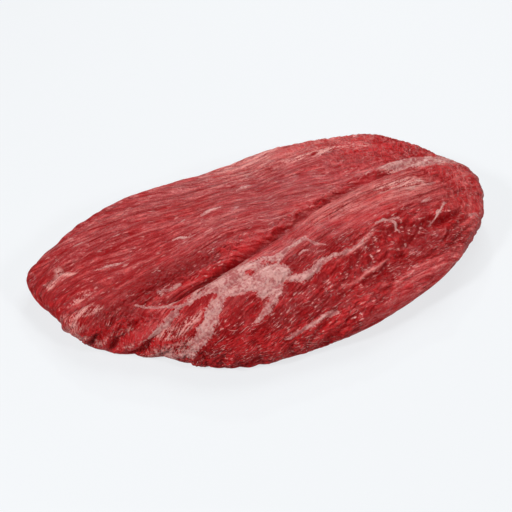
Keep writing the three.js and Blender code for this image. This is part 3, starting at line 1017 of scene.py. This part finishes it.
twist = add_node(tree, "FunctionNodeRandomValue", {"data_type": "FLOAT_VECTOR"}, {
    0: [-most for most in STRAND_TWIST], 1: STRAND_TWIST, "Seed": given.outputs["Seed"],
})
turned = add_node(tree, "FunctionNodeRotateRotation", {"rotation_space": "LOCAL"}, {
    "Rotation": facing, "Rotate By": twist.outputs[0],
})
spread = add_node(tree, "FunctionNodeRandomValue", {"data_type": "FLOAT_VECTOR"}, {
    0: STRAND_LEAST, 1: STRAND_MOST, "Seed": given.outputs["Seed"],
})
placed = add_node(tree, "GeometryNodeInstanceOnPoints", inputs={
    "Points": spots.outputs["Points"], "Instance": strand, "Rotation": turned, "Scale": spread.outputs[0],
})
chance = add_node(tree, "FunctionNodeRandomValue", inputs={"Seed": given.outputs["Seed"]})
marked = add_node(tree, "GeometryNodeStoreNamedAttribute", {"domain": "INSTANCE"}, {
    "Geometry": placed, "Name": "paleness", "Value": chance.outputs[1],
})
real = add_node(tree, "GeometryNodeRealizeInstances", inputs={"Geometry": marked})
finished = add_node(tree, "GeometryNodeSetMaterial", inputs={
    "Geometry": real, "Material": given.outputs["Material"],
})
add_node(tree, "NodeGroupOutput", inputs={"Geometry": finished})

# They grow in clumps, fewer under the painted shade, and none near the table
source = muscle_mesh.copy()
along_way, across_way = skin_frame(u, v)[:2]
keep_values(source, "grain_way", along_way + grain_slope(p, q)[..., None] * across_way)
clumps = smoothstep(-0.1, 0.35, relief(STRAND_CLUMPS, p, q))
strand_share = torn * clumps * (1 - painted_shade * 0.4) * smoothstep(*STRAND_CLEAR, points[..., 2])
keep_values(source, "strand_share", strand_share)
torn_strands = grown("torn_strands", source, tree, sockets, {
    "Strands per square metre": STRANDS_PER_CM2 * 1e4,
    "Length": STRAND_LENGTH * MM,
    "Thickness": STRAND_THICK * MM,
    "Rise": STRAND_RISE * MM,
    "Sink": STRAND_SINK * MM,
    "Seed": STRAND_SEED,
    "Material": strand_stuff,
})
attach(torn_strands, "root")

# The surface fat. What the knife leaves of the fat cover lies on the muscle as thin, pinkish white patches
# with ragged edges, legs down the front slope and thin lines of sheath between the bundles.
FAT_STROKES = [
    [(-72, -50, 1.5), (-66, -46, 3)],
    [(-61, -44, 2), (-56, -42, 3.2), (-46, -39.5, 4.5), (-36, -36, 4.5), (-28, -34, 2.2)],
    [(-56, -48.5, 4.5), (-44, -46, 6), (-30, -44, 6), (-18, -42, 4.5), (-13, -41, 2.5)],
    [(-50, -52, 4), (-36, -51, 5), (-24, -51, 5), (-14, -50, 4.5)],
    [(-31, -58, 2.6), (-23, -58, 4.4), (-13, -55, 3)],
    [
        (-54, -52, 4.5), (-60, -58, 4.5), (-66, -64, 4.2), (-73, -69.5, 3.6),
        (-82, -75, 3.2), (-92, -80.5, 2.6), (-104, -85, 2.4), (-118, -86, 2.4), (-135, -89, 4),
    ],
    [
        (-60, -50, 2.5), (-72, -52, 2.2), (-84, -55.5, 1.8), (-92, -58.5, 2),
        (-98, -61.5, 1.8), (-106, -63.5, 1.6), (-114, -66.5, 0.8),
    ],
    [(-26, -62, 2.4), (-31, -66, 1.8), (-38, -70, 1.4), (-43, -73, 0.8)],
    [(91, -14.5, 0.5), (94, -13.5, 0.9), (97.5, -12.5, 0.5)],
    [(85, -31, 0.4), (87.5, -29.5, 0.8), (90, -28, 0.4)],
    [(93, -45, 0.5), (96, -41, 0.6), (98.5, -36.5, 0.6), (102, -33, 0.4)],
    [(-14, -54, 2.5), (-8, -57.5, 2.4), (0, -56.5, 2.2), (7, -53.5, 1.8), (15, -52, 1.1)],
    [(15, -52.5, 0.8), (22, -54, 0.6), (30, -52.5, 0.5), (38, -50, 0.3)],
    [(-13, -40, 1.2), (-6, -37.5, 0.6), (0, -35.5, 0.5), (4.5, -34, 0.9), (7, -38, 0.6), (14, -43.5, 0.3)],
    [(-3, -43.4, 0.3), (0, -42.4, 0.5), (3, -42.8, 0.2)],
    [(-99, -38, 0.4), (-98, -43, 0.7), (-93, -47, 1), (-87, -48.5, 1), (-80, -48, 0.5)],
    [(-92, -47, 0.6), (-86, -52, 0.8), (-84, -55, 0.8)],
    [(-85, -37, 0.5), (-78, -37.5, 0.7), (-73, -36.5, 0.5)],
    [(-33, -87.5, 0.4), (-26, -86, 0.8), (-16, -84, 1), (-6, -82.5, 0.8), (1, -81.5, 1.3), (6, -82, 0.5)],
    [
        (69, 7, 0.8), (77, 9.5, 3), (86, 9, 5.8), (94, 9, 6.4),
        (102, 10.5, 6), (110, 13.5, 5.6), (119, 17.5, 4.8), (128, 21, 4),
    ],
    [(-13, 27, 0.3), (-9, 28.5, 0.8), (-3, 30.5, 0.4)],
    [(-60, 0, 0.3), (-55, -0.8, 0.8), (-49, -2, 0.4)],
    [(-35, 9, 0.2), (-30, 10.6, 0.7), (-24, 12, 0.3)],
    [(-47, 11, 0.4), (-45, 11.5, 0.6)],
    [(-103, 5, 0.3), (-99, 4.8, 0.7), (-93, 3.5, 0.6), (-86, 1, 0.4)],
    [(-100, 34, 0.6), (-96, 33, 0.7), (-91, 31.5, 0.4)],
    [(-79, 23.5, 0.4), (-76, 23, 0.6)],
    [(50, -42, 0.4), (56, -39.5, 0.7), (66, -39.5, 0.4)],
    [(57, -40, 0.6), (62, -42, 0.7), (65, -47, 0.6), (65.5, -49, 0.3)],
    [(90, -47, 0.3), (94, -44, 0.4), (96, -38, 0.3)],
    [(120, -45, 0.8), (124, -44.5, 1.4), (127, -46, 0.6)],
]
# Strokes that the meat shows through. The last one keeps the wall behind the seam bare.
FAT_WINDOWS = [
    [(-84, -57, 1.6), (-72, -56, 2.2), (-57, -52.5, 1.4)],
    [(-18, -60, 2.4), (-16, -57, 1.6)],
    [(-47, -63, 3), (-42, -59, 3), (-38, -58, 1.5)],
    [(-32, -44.5, 1.2), (-29, -44, 0.8)],
    [(-22, -41.5, 1.6), (-18, -43, 1)],
    [(-62, -39.5, 2), (-35, -31, 2.4), (-20, -25.5, 2.2), (-2, -19, 2.2)],
]
# The strokes bend, the edges of broad ones are ragged, and narrow ones are a little wider
FAT_WANDER = [(7, 5, 1.6, 201), (6, 5, 1.0, 203)]
FAT_RAGGED = [(3.4, 2.4, 0.9, 205), (1.8, 1.3, 0.5, 207)]
LINE_EXTRA = 0.25


# Depth inside the fat's edge in mm, negative outside it, and how broad the patch is from 0 to 1
def fat_depth(p, q):
    bent_p, bent_q = bent(FAT_WANDER, p, q)
    depth = np.full(p.shape, -9.0)
    broad = np.zeros(p.shape)
    for path in FAT_STROKES:
        far, side, half_width = nearest(path, bent_p, bent_q)
        inside = half_width - far
        broad = np.where(inside > depth, smoothstep(0.8, 2.5, half_width), broad)
        depth = np.maximum(depth, inside)
    for path in FAT_WINDOWS:
        far, side, half_width = nearest(path, bent_p, bent_q)
        depth = np.minimum(depth, far - half_width)
    ragged = sum(relief(pattern, p, q) for pattern in FAT_RAGGED)
    return depth + ragged * broad + LINE_EXTRA * (1 - broad), broad


keep_values(muscle_mesh, "fat", fat_depth(p, q)[0])
# The fat is cut out of a grid over the skin. Its top is rounded and pitted, its edges dip into the meat, its
# underside lies inside the meat, and broad patches have holes.
FAT_CELL = 0.55
FAT_SPAN_P = (-162, 130)
FAT_SPAN_Q = (-103, 42)
FAT_TRIM = 0.5
FAT_MARGIN = 1.0
FAT_THICK = 0.5
FAT_ROUND = 0.9
FAT_SINK = 1.2
FAT_BELOW = 0.4
HOLES = (2.6, 2.0, 1, 209)
HOLES_FROM = 0.3
HOLE_DEPTH = 4
FAT_PORES = (2.1, 1.7, 0.12, 211)
FAT_LUMPS = (5, 4, 0.16, 213)
fat_p, fat_q = np.meshgrid(
    np.arange(*FAT_SPAN_P, FAT_CELL), np.arange(*FAT_SPAN_Q, FAT_CELL), indexing="ij"
)
inside, broad = fat_depth(fat_p, fat_q)
inside = inside - FAT_TRIM * broad
inside = inside - HOLE_DEPTH * np.maximum(0, relief(HOLES, fat_p, fat_q) - HOLES_FROM) * broad
bulge = np.where(
    inside > 0, FAT_THICK * (1 - np.exp(-inside / FAT_ROUND)), np.maximum(0.8 * inside, -FAT_SINK)
)
pitted = relief(FAT_PORES, fat_p, fat_q) + relief(FAT_LUMPS, fat_p, fat_q)
bulge += pitted * smoothstep(0, 1.5, inside)
bulge += fine_relief(fat_p, fat_q)
swell = main_relief(fat_p, fat_q)
fat_u = fat_p / SKIN_HALF_P
fat_v = fat_q / SKIN_HALF_Q
fat_top = skin_point(fat_u, fat_v, swell, bulge)
fat_under = skin_point(fat_u, fat_v, swell, bulge - FAT_SINK - FAT_BELOW)
covered = inside > -FAT_MARGIN
cells = covered[:-1, :-1] | covered[1:, :-1] | covered[1:, 1:] | covered[:-1, 1:]
# Where two cells meet only at a corner, the other two there are filled in, so that the piece stays closed
a, b, c, d = cells[:-1, :-1], cells[1:, 1:], cells[1:, :-1], cells[:-1, 1:]
crossed = (a & b & ~c & ~d) | (c & d & ~a & ~b)
for quarter in (a, b, c, d):
    quarter |= crossed
ids = np.arange(fat_p.size).reshape(fat_p.shape)
corners = np.stack([ids[:-1, :-1], ids[1:, :-1], ids[1:, 1:], ids[:-1, 1:]], -1)[cells]
# An edge that no cell has the other way round is on the border, and gets a wall
edges = np.concatenate([np.stack([corners[:, k], corners[:, (k + 1) % 4]], -1) for k in range(4)])
forward = edges[:, 0].astype(np.int64) * fat_p.size + edges[:, 1]
backward = edges[:, 1].astype(np.int64) * fat_p.size + edges[:, 0]
starts, ends = edges[~np.isin(forward, backward)].T
used = np.unique(corners)
place_of = np.full(fat_p.size, -1)
place_of[used] = np.arange(len(used))
top_faces = place_of[corners]
under_faces = top_faces[:, ::-1] + len(used)
walls = np.stack([
    place_of[ends], place_of[starts], place_of[starts] + len(used), place_of[ends] + len(used),
], -1)
fat_mesh = bpy.data.meshes.new("surface_fat")
fat_points = np.concatenate([fat_top.reshape(-1, 3)[used], fat_under.reshape(-1, 3)[used]])
fat_mesh.from_pydata(fat_points * MM, [], np.concatenate([top_faces, under_faces, walls]).tolist())
fat_mesh.polygons.foreach_set("use_smooth", [True] * len(fat_mesh.polygons))
keep_values(fat_mesh, "depth", np.tile(inside.ravel()[used], 2))
surface_fat = add_object("surface_fat", fat_mesh)

# Raw beef fat, chilled: firm, a pinkish white that takes the red of the meat where it is thin
FAT_WHITE = "#b8847e"
FAT_PINK = "#964544"
FAT_THIN = "#a75f5c"
BLOTCH_MM = 8
SPECK_MM = 1.5
PIT_MM = 1.3
FAT_BUMP_MM = 0.55
fat = bpy.data.materials.new("raw beef fat, chilled")
fat.use_nodes = True
tree = fat.node_tree
tree.nodes.clear()
place = add_node(tree, "ShaderNodeTexCoord").outputs["Object"]
fat_depth_here = add_node(tree, "ShaderNodeAttribute", {"attribute_name": "depth"}).outputs["Fac"]
blotches = add_node(tree, "ShaderNodeTexNoise", inputs={
    "Vector": place, "Scale": 1 / (BLOTCH_MM * MM), "Detail": 6, "Roughness": 0.7,
})
specks = add_node(tree, "ShaderNodeTexNoise", inputs={
    "Vector": place, "Scale": 1 / (SPECK_MM * MM), "Detail": 3,
})
blotch_value = add_node(tree, "ShaderNodeMix", inputs={
    "Factor": 0.35, "A": blotches.outputs["Fac"], "B": specks.outputs["Fac"],
})
blotch_tone = add_node(tree, "ShaderNodeValToRGB", inputs={"Fac": blotch_value})
stops = blotch_tone.color_ramp.elements
stops[0].position = 0.45
stops[0].color = linear(FAT_PINK)
stops[1].position = 0.54
stops[1].color = linear(FAT_WHITE)
thickness = add_node(tree, "ShaderNodeMapRange", inputs={
    "Value": fat_depth_here, "From Min": 0.0, "From Max": 0.6,
})
fat_tone = add_node(tree, "ShaderNodeMix", {"data_type": "RGBA"}, {
    0: thickness, 6: linear(FAT_THIN), 7: blotch_tone,
})
pits = add_node(tree, "ShaderNodeTexNoise", inputs={"Vector": place, "Scale": 1 / (PIT_MM * MM), "Detail": 2})
fat_bump = add_node(tree, "ShaderNodeBump", inputs={
    "Strength": 1.0, "Distance": FAT_BUMP_MM * MM, "Height": pits.outputs["Fac"],
})
tallow = add_node(tree, "ShaderNodeBsdfPrincipled", inputs={
    "Base Color": fat_tone,
    "Roughness": 0.35,
    "IOR": 1.45,
    "Subsurface Weight": 0.25,
    "Subsurface Radius": (1.0, 0.5, 0.4),
    "Subsurface Scale": 0.003,
    "Normal": fat_bump,
})
add_node(tree, "ShaderNodeOutputMaterial", inputs={"Surface": tallow})
fat_mesh.materials.append(fat)
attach(surface_fat, "root")

# The floor: a plain, pale sweep of matt paper, far wider than the view. It glows a little, so that it stays
# near white with little shadow, and the wet meat doesn't mirror it.
FLOOR_SIZE = 3.0
FLOOR_DROP = 0.0003
FLOOR_PAPER = "#6a6c6e"
FLOOR_GLOW = "#f3f5f7"
GLOW_STRENGTH = 0.77
floor_mesh = bpy.data.meshes.new("floor")
half = FLOOR_SIZE / 2
floor_corners = [(x, y, -FLOOR_DROP) for x, y in ((-half, -half), (half, -half), (half, half), (-half, half))]
floor_mesh.from_pydata(floor_corners, [], [(0, 1, 2, 3)])
floor = add_object("floor", floor_mesh)
paper = bpy.data.materials.new("matt paper sweep")
paper.use_nodes = True
sheet = paper.node_tree.nodes["Principled BSDF"]
sheet.inputs["Base Color"].default_value = linear(FLOOR_PAPER)
sheet.inputs["Roughness"].default_value = 0.9
sheet.inputs["Specular IOR Level"].default_value = 0.1
sheet.inputs["Emission Color"].default_value = linear(FLOOR_GLOW)
sheet.inputs["Emission Strength"].default_value = GLOW_STRENGTH
floor_mesh.materials.append(paper)
floor.visible_glossy = False

# The light: a big soft box above and behind the meat, small ones at the back, the left and the front right
# that draw the glints and the relief, a weak one at the thick end, and a pale surround
LIT_POINT = Vector((0, 0, 0.02))
# Direction round from the front and up from the table in degrees, distance and size in metres, and watts
LAMPS = {
    "key": (138, 58, 0.85, (0.5, 0.4), 4.1),
    "back glint": (156, 36, 1.1, (0.06, 0.06), 2.6),
    "front left": (-74, 40, 1.1, (0.16, 0.16), 9.0),
    "front right": (30, 36, 1.1, (0.16, 0.16), 5.4),
    "right rim": (84, 14, 1.1, (0.12, 0.12), 0.8),
}
SURROUND = "#f6f8fa"
SURROUND_STRENGTH = 0.17


# The way to a lamp or the camera, from its azimuth and elevation in degrees
def way_to(azimuth, elevation):
    turn = math.radians(azimuth)
    rise = math.radians(elevation)
    return Vector((math.sin(turn) * math.cos(rise), -math.cos(turn) * math.cos(rise), math.sin(rise)))


for name, (azimuth, elevation, distance, size, watts) in LAMPS.items():
    lamp_data = bpy.data.lights.new(name, "AREA")
    lamp_data.shape = "RECTANGLE"
    lamp_data.size, lamp_data.size_y = size
    lamp_data.energy = watts
    lamp = add_object(name, lamp_data)
    lamp_way = way_to(azimuth, elevation)
    lamp.location = LIT_POINT + lamp_way * distance
    lamp.rotation_euler = lamp_way.to_track_quat("Z", "Y").to_euler()
world = bpy.data.worlds.new("studio")
world.use_nodes = True
surround = world.node_tree.nodes["Background"]
surround.inputs["Color"].default_value = linear(SURROUND)
surround.inputs["Strength"].default_value = SURROUND_STRENGTH
bpy.context.scene.world = world
bpy.context.scene.view_settings.view_transform = "Standard"

# The camera: a long lens, above and to the left of the front edge
LENS = 100
SENSOR = 36
FRAME_PIXELS = 512
MM_PER_PIXEL = 0.587
VIEW_AZIMUTH = -24
VIEW_ELEVATION = 40
AIM = Vector((-15 - MIDDLE[0], -11 - MIDDLE[1], 20)) * MM
backward_way = way_to(VIEW_AZIMUTH, VIEW_ELEVATION)
right_way = Vector((math.cos(math.radians(VIEW_AZIMUTH)), math.sin(math.radians(VIEW_AZIMUTH)), 0))
up_way = backward_way.cross(right_way)
camera_data = bpy.data.cameras.new("camera")
camera_data.lens = LENS
camera_data.sensor_width = SENSOR
camera = add_object("camera", camera_data)
camera_distance = FRAME_PIXELS * MM_PER_PIXEL * MM * LENS / SENSOR
camera_turn = Matrix((right_way, up_way, backward_way)).transposed().to_4x4()
camera.matrix_world = Matrix.Translation(AIM + backward_way * camera_distance) @ camera_turn
bpy.context.scene.camera = camera
